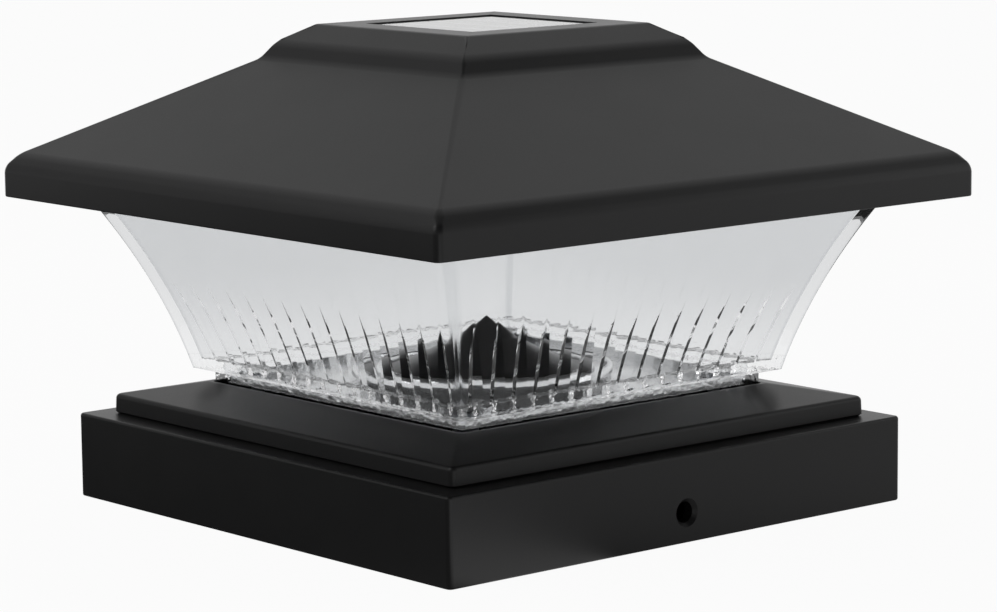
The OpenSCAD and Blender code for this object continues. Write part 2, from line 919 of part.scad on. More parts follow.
// Two leads from the switch over to the board
module switch_wires() {
    color([0.9, 0.75, 0.1])
    for (x = [-1, 1]) {
        start = [switch_x + switch_travel / 2 + x * switch_wire_at, switch_y, z_tray_top + switch_h];
        end = [pad_x, switch_y + x * switch_wire_at, z_board_top];
        tube(route(start, [0, 0, switch_lead_up], end, [0, 0, switch_lead_up], 10),
             wire_d / 2, [0, 1, 0]);
    }
}

// Leads of the panel, down through the hole in its shelf to the board
module solar_wire(x) {
    start = [x * solar_lead_x, solar_lead_y, z_panel];
    end = [x * (pad_x - pad_inset), board_near + solar_pad_inset, z_board_top];
    tube(route(start, [0, 0, -solar_lead_drop], end, [0, 0, solar_lead_drop], 14),
         wire_d / 2, [1, 0, 0]);
}

module solar_wire_red() {
    color([0.75, 0.1, 0.08])
        solar_wire(1);
}

module solar_wire_black() {
    color([0.08, 0.08, 0.08])
        solar_wire(-1);
}

// Leads of the battery: out through the bay's end wall and round to the board
module battery_wire(x) {
    start = [x * bay_l / 2, wire_y, z_batt];
    end = [x * pad_x, 0, z_board_top];
    tube(route(start, [x * battery_lead_out, 0, 0], end, [0, 0, battery_lead_up], 14),
         wire_d / 2, [0, 0.6, 0.8]);
}

module battery_wire_red() {
    color([0.75, 0.1, 0.08])
        battery_wire(1);
}

module battery_wire_black() {
    color([0.08, 0.08, 0.08])
        battery_wire(-1);
}

// The door: a plate in a rebate, with a plug and two saddles under the cell
module battery_door() {
    color([0.09, 0.09, 0.09])
    difference() {
        union() {
            door_plate(z_tray, z_rebate - slip, 0);
            bay_space(z_tray, z_rebate + door_plug_t, -fit_gap);
            for (x = [-0.3, 0.3])
                translate([x * bay_l, batt_y, 0])
                    translate([0, 0, (z_tray + z_batt - batt_d / 4) / 2])
                        cube([rib_t, 2 * (bay_half_w - fit_gap), z_batt - batt_d / 4 - z_tray],
                             center = true);
        }
        along_x(-bay_l, bay_l, batt_d / 2 + slip);
        translate([door_screw_x, batt_y, 0]) {
            post(door_screw_d / 2 + slip, z_tray - past, z_tray_top);
            translate([0, 0, z_tray - slip])
                cylinder(r1 = door_head_r + 2 * slip, r2 = door_screw_d / 2 + slip,
                         h = door_head_h + slip);
        }
    }
}

module door_screw() {
    color([0.7, 0.7, 0.72])
    translate([door_screw_x, batt_y, 0])
        difference() {
            union() {
                post(door_screw_d / 2, z_tray, z_tray + door_screw_l);
                translate([0, 0, z_tray])
                    cylinder(r1 = door_head_r, r2 = door_screw_d / 2, h = door_head_h);
            }
            cross_recess(door_head_r, z_tray - slip);
        }
}

post_skirt();
base_cap();
base_seal();
base_screws();
lens();
reflector();
roof_cap();
panel_foam();
panel_board();
solar_cells();
panel_glaze();
head_tray();
lens_seal();
tray_screws();
battery_can();
battery_sleeve();
battery_spring();
battery_tab();
circuit_board();
board_parts();
led();
led_legs();
switch_body();
switch_slider();
switch_wires();
solar_wire_red();
solar_wire_black();
battery_wire_red();
battery_wire_black();
battery_door();
door_screw();
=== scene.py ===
# %% [markdown]
# # A solar post cap light, dressed in Blender
#
# The light has a black pyramid roof with a solar panel on its crown, a clear flared
# lens with flutes round its foot, and a two-step collar that slips over a post. The
# working parts, such as the battery, the circuit board and the screws, come ready made
# as a fixed frame. This lesson builds finer versions of the shells that are seen most,
# gives every part its finish, and lights the whole as in a photographer's white tent.

# %% Load the frame
import json
from math import asin, atan, cos, pi, radians, sin, sqrt

import bmesh
import bpy
from mathutils import Matrix, Vector


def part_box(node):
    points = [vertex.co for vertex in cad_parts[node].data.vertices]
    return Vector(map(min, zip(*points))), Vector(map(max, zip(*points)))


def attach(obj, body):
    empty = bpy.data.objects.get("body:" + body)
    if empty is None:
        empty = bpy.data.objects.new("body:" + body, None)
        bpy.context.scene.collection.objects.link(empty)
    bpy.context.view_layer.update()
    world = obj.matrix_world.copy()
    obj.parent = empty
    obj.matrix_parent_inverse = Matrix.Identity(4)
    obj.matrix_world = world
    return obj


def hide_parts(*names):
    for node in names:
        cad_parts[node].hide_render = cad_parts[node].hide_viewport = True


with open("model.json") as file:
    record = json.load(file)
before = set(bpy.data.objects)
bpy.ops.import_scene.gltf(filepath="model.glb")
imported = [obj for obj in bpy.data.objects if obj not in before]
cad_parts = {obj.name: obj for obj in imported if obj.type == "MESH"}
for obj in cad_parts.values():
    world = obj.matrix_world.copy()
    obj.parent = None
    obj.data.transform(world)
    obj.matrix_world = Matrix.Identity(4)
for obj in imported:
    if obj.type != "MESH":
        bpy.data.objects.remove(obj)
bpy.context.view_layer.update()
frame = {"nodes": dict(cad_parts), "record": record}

mm = 0.001
nodes = frame["nodes"]

# %% [markdown]
# ## The camera
#
# The photograph looks at the light's corner from a little above, through a long lens:
# its upright edges stay almost parallel. A camera is easiest to place by where it stands
# and what it looks at. Turning it a little about its own axis afterwards gives the
# photograph's slight tilt.

# %% Place the camera
camera_spot = Vector((-430.0, -507.7, 137.2)) * mm
camera_target = Vector((1.94, -1.66, 36.1)) * mm
camera_tilt = radians(-0.587)
camera_lens = 131.3     # focal length in millimetres, for a sensor 36 mm wide

camera = bpy.data.objects.new("camera", bpy.data.cameras.new("camera"))
camera.data.lens = camera_lens
camera.data.sensor_width = 36
camera.data.clip_start = 0.01
facing = (camera_target - camera_spot).to_track_quat("-Z", "Y").to_matrix().to_4x4()
tilt = Matrix.Rotation(camera_tilt, 4, "Z")
camera.matrix_world = Matrix.Translation(camera_spot) @ facing @ tilt
bpy.context.scene.collection.objects.link(camera)
bpy.context.scene.camera = camera
print("camera stands", round(camera_spot.length / mm), "mm from the light")

# %% [markdown]
# ## Sizes
#
# The shells must meet the ready-made parts exactly, so their outer sizes are read from
# the frame. What the frame's boxes don't say, such as walls and levels between the top
# and the bottom of a part, is given here in millimetres.

# %% Read and name the sizes
def reach(node):
    """Half width, lowest level and highest level of one of the frame's parts."""
    low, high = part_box(node)
    return high.x, low.z, high.z


skirt_half, skirt_low, ledge_z = reach("post_skirt")
cap_half, _, cap_z = reach("base_cap")
neck_half, well_z, neck_z = reach("base_seal")
rim_half, _, rim_z = reach("lens")
mirror_half, lens_floor_z, _ = reach("reflector")
_, _, screw_tip_z = reach("base_screws")
roof_half, brim_z, top_z = reach("roof_cap")
panel_half, _, _ = reach("panel_foam")
step_height = 3.6 * mm
neck_in_sight = 2.6 * mm
lip_width = 3 * mm
lens_wall = 2 * mm
rim_height = 2 * mm
cap_step_z = ledge_z + step_height
lip_z = cap_z + neck_in_sight
lip_half = neck_half + lip_width
shelf_z = lip_z + lens_wall
flare_z = rim_z - rim_height
close = 0.01 * mm     # two levels or half widths nearer than this are the same
print("roof", round(2 * roof_half / mm, 1), "mm wide, light", round(top_z / mm, 1), "mm high")

# %% [markdown]
# ## Square shells from rings
#
# Roof, base cap, skirt and lens are all square at every level. Such a shape can be built
# like a thrown pot, but with a square wheel: start from one ring of edges, extrude it,
# scale the new ring, lift it, and go on. The corners of the first ring are rounded once,
# and every later ring inherits them. When the last ring lies on the first, merging the
# doubled vertices closes the shell. Rounding the level edges comes last, one ring at a
# time, with the bevel operator.

# %% Helpers for square shells
corner_reach = (2 - sqrt(2)) / (sqrt(2) - 1) / sqrt(2)     # bevel offset for a radius of 1
corner_share = 0.03     # how far a rounded corner may draw back, as a share of the half width


def new_ring(bm, half, level, corner, corner_steps=4, columns=1):
    """A square ring of edges with rounded corners and, on each side, this many columns."""
    turn = Matrix.Translation((0, 0, level)) @ Matrix.Rotation(pi / 4, 4, "Z")
    made = bmesh.ops.create_circle(bm, cap_ends=True, segments=4, radius=half * sqrt(2),
                                   matrix=turn)
    bmesh.ops.bevel(bm, geom=made["verts"], offset=corner * corner_reach, offset_type="OFFSET",
                    segments=corner_steps, profile=0.5, affect="VERTICES", material=-1)
    long_sides = [e for e in bm.edges if e.calc_length() > half]
    if columns > 1:
        bmesh.ops.subdivide_edges(bm, edges=long_sides, cuts=columns - 1)
    bmesh.ops.delete(bm, geom=list(bm.faces), context="FACES_ONLY")
    return list(bm.edges)


def next_ring(bm, ring, half, level):
    """Extrudes a ring to a new half width and level, and gives back the new ring's edges."""
    made = bmesh.ops.extrude_edge_only(bm, edges=ring)["geom"]
    points = [v for v in made if isinstance(v, bmesh.types.BMVert)]
    now = max(v.co.x for v in points)
    bmesh.ops.scale(bm, vec=(half / now, half / now, 1), verts=points)
    bmesh.ops.translate(bm, vec=(0, 0, level - points[0].co.z), verts=points)
    return [e for e in made if isinstance(e, bmesh.types.BMEdge)]


def square_shell(path, corner, corner_steps=4, columns=1, closed=True):
    """A bmesh that is square at every level, through a path of half widths and levels."""
    bm = bmesh.new()
    ring = new_ring(bm, *path[0], corner, corner_steps, columns)
    first = ring
    for half, level in path[1:]:
        ring = next_ring(bm, ring, half, level)
    if closed:
        ring = next_ring(bm, ring, *path[0])
        bmesh.ops.remove_doubles(bm, verts=list(bm.verts), dist=0.001 * mm)
    else:
        bmesh.ops.contextual_create(bm, geom=first)
        bmesh.ops.contextual_create(bm, geom=ring)
    bmesh.ops.recalc_face_normals(bm, faces=list(bm.faces))
    return bm


def half_width(v):
    """Half width of the square ring that a vertex lies on."""
    return max(abs(v.co.x), abs(v.co.y))


def ease(bm, half, level, radius, steps=3):
    """Rounds the ring of edges that lies at one half width and level."""
    def on_ring(v):
        return abs(v.co.z - level) < close and abs(half_width(v) - half) < corner_share * half
    ring = [e for e in bm.edges if all(on_ring(v) for v in e.verts)]
    bmesh.ops.bevel(bm, geom=ring, offset=radius, offset_type="OFFSET", segments=steps,
                    profile=0.5, affect="EDGES", clamp_overlap=True, material=-1)


# %% [markdown]
# A finished piece gets smooth shading, but edges sharper than a set angle stay crisp.
# Weighted normals then keep the large flat faces flat, so that light doesn't smear
# across them from the small rounded edges.

# %% Turn a bmesh into a piece of the light
shells = []     # each piece made here, with its finish slot


def make_piece(name, bm, body, slot, replaced, sharp=30):
    """Makes an object from a bmesh and ties it to its body, its finish and its frame part."""
    mesh = bpy.data.meshes.new(name)
    bm.to_mesh(mesh)
    bm.free()
    piece = bpy.data.objects.new(name, mesh)
    bpy.context.scene.collection.objects.link(piece)
    soften(piece, sharp)
    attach(piece, body)
    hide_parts(replaced)
    shells.append((piece, slot))
    print(name + ":", len(mesh.polygons), "faces")


def soften(piece, sharp):
    """Smooth shading with crisp edges and weighted normals."""
    mesh = piece.data
    mesh.polygons.foreach_set("use_smooth", [True] * len(mesh.polygons))
    mesh.set_sharp_from_angle(angle=radians(sharp))
    weighted = piece.modifiers.new("flat faces stay flat", "WEIGHTED_NORMAL")
    weighted.keep_sharp = True
    weighted.weight = 100


# %% [markdown]
# Holes and posts are round, so rings can't make them. They are cut or added with cones
# and cylinders, by Blender's Boolean modifier in its exact mode, which keeps walls closed.

# %% Helpers for round holes and posts
past = 1 * mm     # how far a cutter reaches past what it cuts


def carve(bm, cutter, operation="DIFFERENCE"):
    """Cuts one closed bmesh with another, or joins them, and gives back the result."""
    pair = []
    for shape in (bm, cutter):
        mesh = bpy.data.meshes.new("shape")
        shape.to_mesh(mesh)
        shape.free()
        pair.append(bpy.data.objects.new("shape", mesh))
        bpy.context.scene.collection.objects.link(pair[-1])
    cut = pair[0].modifiers.new("cut", "BOOLEAN")
    cut.object = pair[1]
    cut.operation = operation
    cut.solver = "EXACT"
    cut.use_hole_tolerant = False
    bpy.context.view_layer.update()
    done = bmesh.new()
    done.from_object(pair[0], bpy.context.evaluated_depsgraph_get())
    for shape in pair:
        bpy.data.objects.remove(shape)
    return done


def cylinder(bm, radius, length, middle, along="Z", top=None, steps=48):
    """Adds a closed cylinder or, with top, a cone's stump to a bmesh."""
    turn = {"Z": Matrix(), "Y": Matrix.Rotation(pi / 2, 4, "X")}[along]
    bmesh.ops.create_cone(bm, cap_ends=True, segments=steps, radius1=radius,
                          radius2=radius if top is None else top, depth=length,
                          matrix=Matrix.Translation(middle) @ turn)


# %% [markdown]
# ## The skirt
#
# The skirt is a square tube that slips over the post. A deck closes it at the top, with a
# square opening in the middle. One path of half widths and levels goes round the whole
# wall, and the ring follows it.

# %% Build the skirt
skirt_wall = 2.6 * mm
deck_z = ledge_z - 2.4 * mm
deck_hole_half = 22 * mm
socket_half = skirt_half - skirt_wall

skirt = square_shell([
    (skirt_half, skirt_low), (skirt_half, ledge_z), (deck_hole_half, ledge_z),
    (deck_hole_half, deck_z), (socket_half, deck_z), (socket_half, skirt_low)
], corner=1.0 * mm)
ease(skirt, skirt_half, ledge_z, 0.5 * mm)
ease(skirt, skirt_half, skirt_low, 0.35 * mm)
ease(skirt, deck_hole_half, ledge_z, 0.3 * mm)
print("skirt:", len(skirt.faces), "faces before drilling")

# %% [markdown]
# A countersunk fixing hole goes through the skirt's front wall and another through its
# back. The straight bores are cut first and the conical mouths next, together with the
# four holes that let the base screws through the deck.

# %% Drill the skirt
fixing_z = 5.4 * mm
fixing_r = 1.9 * mm
fixing_mouth_r = 2.6 * mm
screw_at = 29.15 * mm
screw_places = [(x, y) for x in (-screw_at, screw_at) for y in (-screw_at, screw_at)]
screw_hole_r = 1.6 * mm

holes = bmesh.new()
for side in (-1, 1):
    middle = (0, side * (skirt_half - skirt_wall / 2), fixing_z)
    cylinder(holes, fixing_r, 2 * past + skirt_wall, middle, "Y")
skirt = carve(skirt, holes)
holes = bmesh.new()
for side in (-1, 1):
    wide, narrow = fixing_mouth_r + past, fixing_r - past / 2
    depth = wide - narrow
    ends = (wide, narrow) if side < 0 else (narrow, wide)
    middle = (0, side * (skirt_half + past - depth / 2), fixing_z)
    cylinder(holes, ends[1], depth, middle, "Y", top=ends[0])
for x, y in screw_places:
    cylinder(holes, screw_hole_r, 4 * skirt_wall, (x, y, deck_z))
skirt = carve(skirt, holes)
make_piece("post_collar", skirt, "base", "black_plastic", "post_skirt")

# %% [markdown]
# ## The base cap
#
# A second, smaller square stands on the skirt. Its upright edge is only a few millimetres
# high, and its top rises gently towards the lens. Two details catch the light in the
# photograph: a soft bright line along the upper edge, and a dark gap below the lower one,
# which a small chamfer makes.

# %% Build the base cap
fit_gap = 0.3 * mm
well_half = neck_half + fit_gap
well_land = 0.8 * mm
cap_wall = 2.2 * mm
cap_floor_z = well_z - cap_wall
cap_gap = 0.4 * mm
cap_draft = 0.1 * mm

cap = square_shell([
    (cap_half - cap_wall, cap_floor_z), (cap_half - cap_wall, ledge_z),
    (cap_half - cap_gap, ledge_z), (cap_half, ledge_z + cap_gap),
    (cap_half - cap_draft, cap_step_z), (well_half + well_land, cap_z), (well_half, cap_z),
    (well_half, well_z)
], corner=1.1 * mm, closed=False)
ease(cap, cap_half - cap_draft, cap_step_z, 0.7 * mm, steps=4)
ease(cap, well_half, cap_z, 0.2 * mm)
make_piece("base_plinth", cap, "base", "black_plastic", "base_cap")

# %% [markdown]
# ## The roof
#
# The roof is one moulding: an upright brim, a rounded shoulder, a long slope, a crown with
# a steep side, and a flat plate with a recess for the panel. The path goes up the outside
# and comes back down the inside at the wall's thickness.

# %% Build the roof
roof_wall = 2.2 * mm
brim_top_z = brim_z + 5.6 * mm
shoulder_half, shoulder_z = roof_half - 2 * mm, brim_top_z + 2.4 * mm
crown_half, crown_z = 29.15 * mm, shoulder_z + 17.6 * mm
riser_half, riser_z = crown_half - 2.1 * mm, crown_z + 3 * mm
plate_half = 21.55 * mm
recess_half = panel_half + fit_gap
recess_z = top_z - 2 * mm
ledge_under_panel = 5 * mm
lead_hole_half = panel_half - ledge_under_panel
slope = (crown_z - shoulder_z) / (shoulder_half - crown_half)
slope_drop = roof_wall * sqrt(1 + slope * slope) - 0.1 * mm     # from the slope to its inside
inner_half = roof_half - roof_wall

roof = square_shell([
    (roof_half, brim_z), (roof_half, brim_top_z), (shoulder_half, shoulder_z),
    (crown_half, crown_z), (riser_half, riser_z), (plate_half, top_z),
    (recess_half, top_z), (recess_half, recess_z), (lead_hole_half, recess_z),
    (lead_hole_half, recess_z - roof_wall), (recess_half + roof_wall, recess_z - roof_wall),
    (recess_half + roof_wall, top_z - roof_wall), (plate_half - 0.6 * mm, top_z - roof_wall),
    (riser_half - 1.55 * mm, riser_z - 1.65 * mm), (crown_half - 1.5 * mm, crown_z - 1.7 * mm),
    (inner_half, shoulder_z - slope_drop), (inner_half, brim_z)
], corner=1.3 * mm, corner_steps=5)
for half, level, radius in [
        (roof_half, brim_top_z, 1.1 * mm), (shoulder_half, shoulder_z, 1.1 * mm),
        (crown_half, crown_z, 0.9 * mm), (riser_half, riser_z, 1.2 * mm)]:
    ease(roof, half, level, radius, steps=4)
ease(roof, plate_half, top_z, 0.5 * mm)
ease(roof, roof_half, brim_z, 0.3 * mm)
make_piece("roof_shell", roof, "head", "black_plastic", "roof_cap")

# %% [markdown]
# ## The lens
#
# The lens is clear, smooth outside and fluted inside. Its wall leans out on a long curve,
# an arc of a circle. Where the arc stands at a height follows from the angle at which it
# leans there, so no curve object is needed, only a sine and a cosine.

# %% The lens's long curve
flare_lean = radians(14.2)     # at the foot, from the upright
flare_r = 117.4 * mm


def flare_angle(rise):
    return asin(sin(flare_lean) + rise / flare_r)


def flare_half(rise):
    """Half width of the lens outside, at a height above its lip."""
    return lip_half + flare_r * (cos(flare_lean) - cos(flare_angle(rise)))


def flare_inside(rise):
    return flare_half(rise) - lens_wall / cos(flare_angle(rise))


def levels(low, high, count):
    return [low + (high - low) * i / count for i in range(count + 1)]


flare_h = flare_z - lip_z
foot, top = round(flare_half(0) / mm, 1), round(flare_half(flare_h) / mm, 1)
print("the lens flares from", foot, "to", top, "mm from the axis")

# %% [markdown]
# The path goes up the outside of neck and flare, over the rim and down the inside. Every
# ring has three points for each flute on every side, for the flutes to come. The rings
# stand close together inside, because the flutes bend there.

# %% Build the plain lens
flutes = 15
lens_corner = 0.7 * mm
neck_in = neck_half - lens_wall
neck_flute_z = lens_floor_z + 2.7 * mm
neck_step = 0.1 * mm     # within this height the flutes of the neck begin

outside = [(flare_half(h), lip_z + h) for h in levels(0, flare_h, 36)]
inside = [(flare_inside(h), lip_z + h) for h in levels(lens_wall, flare_h, 44)]
neck = [(neck_in, z) for z in levels(lens_floor_z, neck_flute_z, 2)[:-1]]
neck += [(neck_in, neck_flute_z), (neck_in, neck_flute_z + neck_step), (neck_in, shelf_z)]
lens_path = [(neck_half, neck_z), (neck_half, lip_z)] + outside + [(rim_half, rim_z)]
lens_path += [(inside[-1][0], rim_z)] + inside[::-1] + neck[::-1]
lens = square_shell(lens_path, lens_corner, columns=3 * flutes + 1, closed=False)
print("lens:", len(lens_path), "rings of", 4 * (3 * flutes + 1), "columns")

# %% [markdown]
# Each flute is a ridge with straight flanks, deep at the shelf and sinking into the wall
# higher up, so that it narrows to a point. The points are what the eye sees, because each
# ridge bends a dark streak of what lies behind it. A ridge has a left foot, a crest and a
# right foot, and the three points of every inner ring are moved there. The flutes fan out
# with the wall, because these places are shares of its width.

# %% Flute the lens
flute_top_z = 43.5 * mm
flute_deep, flute_share = 1.5 * mm, 0.38     # at the shelf: depth, and half width over pitch
neck_flute_deep, neck_flute_share = 0.75 * mm, 0.4
faint_deep, faint_share = 0.01 * mm, 0.1     # where a flute has faded out
depth_fade, share_fade = 1.2, 0.7
straight_share = 1 - 0.7 / 36                # of a side between its corners, which stay plain


def in_neck(half):
    return half < neck_in + 0.1 * mm


def flute(point, half):
    """Moves a vertex of the lens's inside to where the flutes put it."""
    along, across = (0, 1) if abs(point.y) > abs(point.x) else (1, 0)
    if point.z < neck_flute_z + neck_step / 2:
        return
    side = 1 if point[across] > 0 else -1
    straight = half * straight_share
    column = round((point[along] / straight + 1) * (3 * flutes + 1) / 2) - 1
    if not 0 <= column < 3 * flutes:
        return
    if point.z < shelf_z - close or in_neck(half):
        deep, share = neck_flute_deep, neck_flute_share
    else:
        left = max(0, (flute_top_z - point.z) / (flute_top_z - shelf_z))
        deep = max(flute_deep * left ** depth_fade, faint_deep)
        share = max(flute_share * left ** share_fade, faint_share)
    index, part = divmod(column, 3)
    centre = (2 * index + 1) / flutes - 1
    point[along] = straight * (centre + (part - 1) * share * 2 / flutes)
    if part == 1:
        point[across] -= side * deep


inner_points = []
for v in lens.verts:
    half = half_width(v)
    on_wall = v.co.z > shelf_z - close and half < flare_half(v.co.z - lip_z) - lens_wall / 2
    on_neck = half < neck_in + close and v.co.z > lens_floor_z - close
    if (on_wall and v.co.z < rim_z - close) or on_neck:
        ring_key = (round(v.co.z / mm, 3), in_neck(half))
        inner_points.append((v, half, ring_key))
ring_half = {}
for v, half, ring_key in inner_points:
    ring_half[ring_key] = max(ring_half.get(ring_key, 0), half)
for v, half, ring_key in inner_points:
    flute(v.co, ring_half[ring_key])
ease(lens, rim_half, rim_z, 0.25 * mm, steps=2)
print(4 * flutes, "flutes on", len(ring_half), "rings")

# %% [markdown]
# Four short posts stand on the lens's floor. The base screws come up from below and bite
# into them, so each post gets a blind hole.

# %% Add the screw posts
boss_r = 3.6 * mm
post_low_z, post_top_z = neck_z + past / 2, screw_tip_z + 1 * mm
hole_low_z = neck_z - past
posts, holes = bmesh.new(), bmesh.new()
for x, y in screw_places:
    cylinder(posts, boss_r, post_top_z - post_low_z,
             (x, y, (post_top_z + post_low_z) / 2), steps=32)
    cylinder(holes, screw_hole_r, screw_tip_z - hole_low_z,
             (x, y, (screw_tip_z + hole_low_z) / 2), steps=32)
lens = carve(carve(lens, posts, "UNION"), holes)
make_piece("clear_lens", lens, "base", "clear_plastic", "lens", sharp=20)

# %% [markdown]
# ## The mirror
#
# A mirrored tray lies in the foot of the lens, with a cone under the diode that throws its
# light sideways. The cone's flank is hollow: almost level at the foot, steep at the tip.
# A bright bead runs round its dark tip, and shows in the photograph as a row of glints
# in front of the dark cone. The tip's dark colour is a painted reflection of the roof's
# black underside. Seen in section, flank and bead are one path again.

# %% The cone's flank and its bead
mirror_z = lens_floor_z + 1 * mm
cone_r = 27.5 * mm
cone_foot = radians(8)
cone_h = 12 * mm
cone_tip = 2 * atan(cone_h / cone_r) - cone_foot
cone_arc = cone_r / (sin(cone_tip) - sin(cone_foot))
# radius of the cone's dark tip, whose colour is a painted reflection of the roof's black
# underside
painted_dark_tip_r = 18.5 * mm
bead_profile = [     # distance outside the smoked tip, and height, in millimetres
    (1.5, 0), (1.4, 0.6), (1.25, 1.0), (0.95, 1.25), (0.55, 1.25), (0.25, 1.0), (0.1, 0.6),
    (0.05, 0)]


def flank_z(radius):
    """Height of the cone's hollow flank at a distance from the axis."""
    lean = asin(sin(cone_tip) - radius / cone_arc)
    return mirror_z + cone_arc * (cos(cone_foot) - cos(lean))


def flank(outer, inner, count):
    """Radii and heights along the flank, from one radius in to another."""
    return [(radius, flank_z(radius)) for radius in levels(outer, inner, count)]


cone_path = [(cone_r + 0.4 * mm, mirror_z)] + flank(cone_r, painted_dark_tip_r + 1.6 * mm, 9)
for out, up in bead_profile:
    radius = painted_dark_tip_r + out * mm
    cone_path.append((radius, flank_z(radius) + up * mm))
cone_path += flank(painted_dark_tip_r, 0.15 * mm, 24)
print("the cone's tip is", round((cone_path[-1][1] - mirror_z) / mm, 1), "mm high")

# %% [markdown]
# The tray starts as a square ring. At the foot of the cone the same vertices are moved
# onto a circle, and the rings go on from there as circles. Four holes leave room for the
# lens's posts.

# %% Build the mirror
mirror_rim_z = mirror_z + 1.4 * mm
mirror_wall = 1 * mm
mirror_columns = 24
post_gap = 0.1 * mm

mirror = bmesh.new()
ring = new_ring(mirror, mirror_half, lens_floor_z, lens_corner, corner_steps=2,
                columns=mirror_columns)
first = ring
for half, level in [(mirror_half, mirror_rim_z), (mirror_half - mirror_wall, mirror_rim_z),
                    (mirror_half - mirror_wall, mirror_z), (cone_r + 1 * mm, mirror_z)]:
    ring = next_ring(mirror, ring, half, level)
for radius, level in cone_path:
    ring = next_ring(mirror, ring, radius, level)
    for v in {v for e in ring for v in e.verts}:
        v.co.xy = v.co.xy.normalized() * radius
bmesh.ops.contextual_create(mirror, geom=ring)
bmesh.ops.contextual_create(mirror, geom=first)
bmesh.ops.recalc_face_normals(mirror, faces=list(mirror.faces))
holes = bmesh.new()
for x, y in screw_places:
    cylinder(holes, boss_r + post_gap, 8 * mm, (x, y, mirror_z), steps=32)
mirror = carve(mirror, holes)
make_piece("mirror_dish", mirror, "base", "mirror_coat", "reflector")

# %% [markdown]
# ## Writing finishes as sums
#
# A procedural finish is a small calculation: noise here, a stripe there, mixed and scaled.
# Wiring such a calculation node by node hides what it says. The class below wraps one
# output socket, so that 0.4 + 0.1 * noise adds the two Math nodes by itself. Every other
# node comes from its one method, node.

# %% A socket that can be used in sums
class Wire:
    """An output socket of a material. Arithmetic on it adds Math nodes beside it."""

    def __init__(self, socket):
        self.socket = socket

    def node(self, kind, settings=None, inputs=None, out=0):
        """Adds a shader node, sets it up, joins its inputs, and gives back one output."""
        tree = self.socket.id_data
        made = tree.nodes.new("ShaderNode" + kind)
        for name, value in (settings or {}).items():
            setattr(made, name, value)
        for key, value in (inputs or {}).items():
            if isinstance(value, Wire):
                tree.links.new(value.socket, made.inputs[key])
            else:
                made.inputs[key].default_value = value
        return Wire(made.outputs[out])

    def maths(self, operation, a, b=0.0):
        return self.node("Math", {"operation": operation}, {0: a, 1: b})

    def __add__(self, other):
        return self.maths("ADD", self, other)

    def __rsub__(self, other):
        return self.maths("SUBTRACT", other, self)

    def __mul__(self, other):
        return self.maths("MULTIPLY", self, other)

    def __truediv__(self, other):
        return self.maths("DIVIDE", self, other)

    def __gt__(self, other):
        return self.maths("GREATER_THAN", self, other)

    def __lt__(self, other):
        return self.maths("LESS_THAN", self, other)

    __radd__ = __add__
    __rmul__ = __mul__


# %% [markdown]
# Three measures cover most surfaces: where a point is, how a noise of a given size varies
# there, and a fine bump made from such a noise. Sizes are real ones, so a grain of 0.4 mm
# looks right next to a screw of 3 mm.

# %% Measures that the finishes share
def noise(spot, size, detail=2.0):
    """Noise between 0 and 1 whose blotches are about size across."""
    return spot.node("TexNoise", None, {"Vector": spot, "Scale": 1 / size, "Detail": detail})


def between(low, high, share):
    """A number that goes from low to high as share goes from 0 to 1."""
    return low + (high - low) * share


def grain(spot, height, depth):
    """A Normal for the shader, from a height between 0 and 1 that stands for depth."""
    return spot.node("Bump", None, {"Height": height, "Distance": depth})


def colours(spot, share, first, second):
    """The first colour where share is 0, the second where it is 1."""
    first, second = [c if isinstance(c, Wire) else (*c, 1) for c in (first, second)]
    return spot.node("Mix", {"data_type": "RGBA"}, {0: share, 6: first, 7: second}, out=2)


def place(spot):
    """The three object coordinates of a point, in metres."""
    return [spot.node("SeparateXYZ", None, {0: spot}, out=i) for i in range(3)]


def size_of(value):
    return value.maths("ABSOLUTE", value)


def larger(a, b):
    return a.maths("MAXIMUM", a, b)


def smaller(a, b):
    return a.maths("MINIMUM", a, b)


def ramp_between(value, low, high):
    """0 below low, 1 above high, and smooth between."""
    return value.node("MapRange", {"interpolation_type": "SMOOTHSTEP"},
                      {"Value": value, "From Min": low, "From Max": high})


def reach_from_axis(spot):
    """How far a point is from the light's upright axis."""
    x, y, _ = place(spot)
    square = x * x + y * y
    return square.maths("SQRT", square)


def stripes(value, pitch, share):
    """1 on lines that repeat every pitch and take up that share of it, and 0 between."""
    above_zero = value + 1     # a metre on, so that the lines repeat on both sides of the axis
    return value.maths("FRACT", above_zero / pitch) < share


finishes = {}     # by slot


def new_finish(slot, name, paint, **constants):
    """Makes a slot's material, from what varies over it (paint) and what doesn't (constants)."""
    material = bpy.data.materials.new(name)
    material.use_nodes = True
    tree = material.node_tree
    shader = tree.nodes["Principled BSDF"]
    for key, value in constants.items():
        shader.inputs[key.replace("_", " ")].default_value = value
    spot = Wire(tree.nodes.new("ShaderNodeTexCoord").outputs["Object"])
    for key, wire in paint(spot).items():
        tree.links.new(wire.socket, shader.inputs[key])
    finishes[slot] = material
    print(slot + ":", name + ",", len(tree.nodes), "nodes")


# %% [markdown]
# ## Black shells and the tray
#
# The outer shells are satin black: smooth enough for a soft shine on the edges, with a
# very fine moulded grain. The tray below is the same plastic from a rougher mould.

# %% Satin black and matt black
def satin_black(spot):
    fine = noise(spot, 0.35 * mm)
    wide = noise(spot, 9 * mm)
    return {
        "Base Color": colours(spot, wide, (0.012, 0.012, 0.0124), (0.016, 0.016, 0.0165)),
        "Roughness": between(0.34, 0.46, 0.6 * fine + 0.4 * wide),
        "Normal": grain(spot, fine, 0.006 * mm),
    }


def matt_black(spot):
    fine = noise(spot, 0.5 * mm, 3)
    return {
        "Base Color": colours(spot, fine, (0.016, 0.016, 0.017), (0.024, 0.024, 0.025)),
        "Roughness": between(0.5, 0.68, fine),
        "Normal": grain(spot, fine, 0.02 * mm),
    }


new_finish("black_plastic", "satin black", satin_black, Specular_IOR_Level=0.4)
new_finish("tray_plastic", "matt black", matt_black)
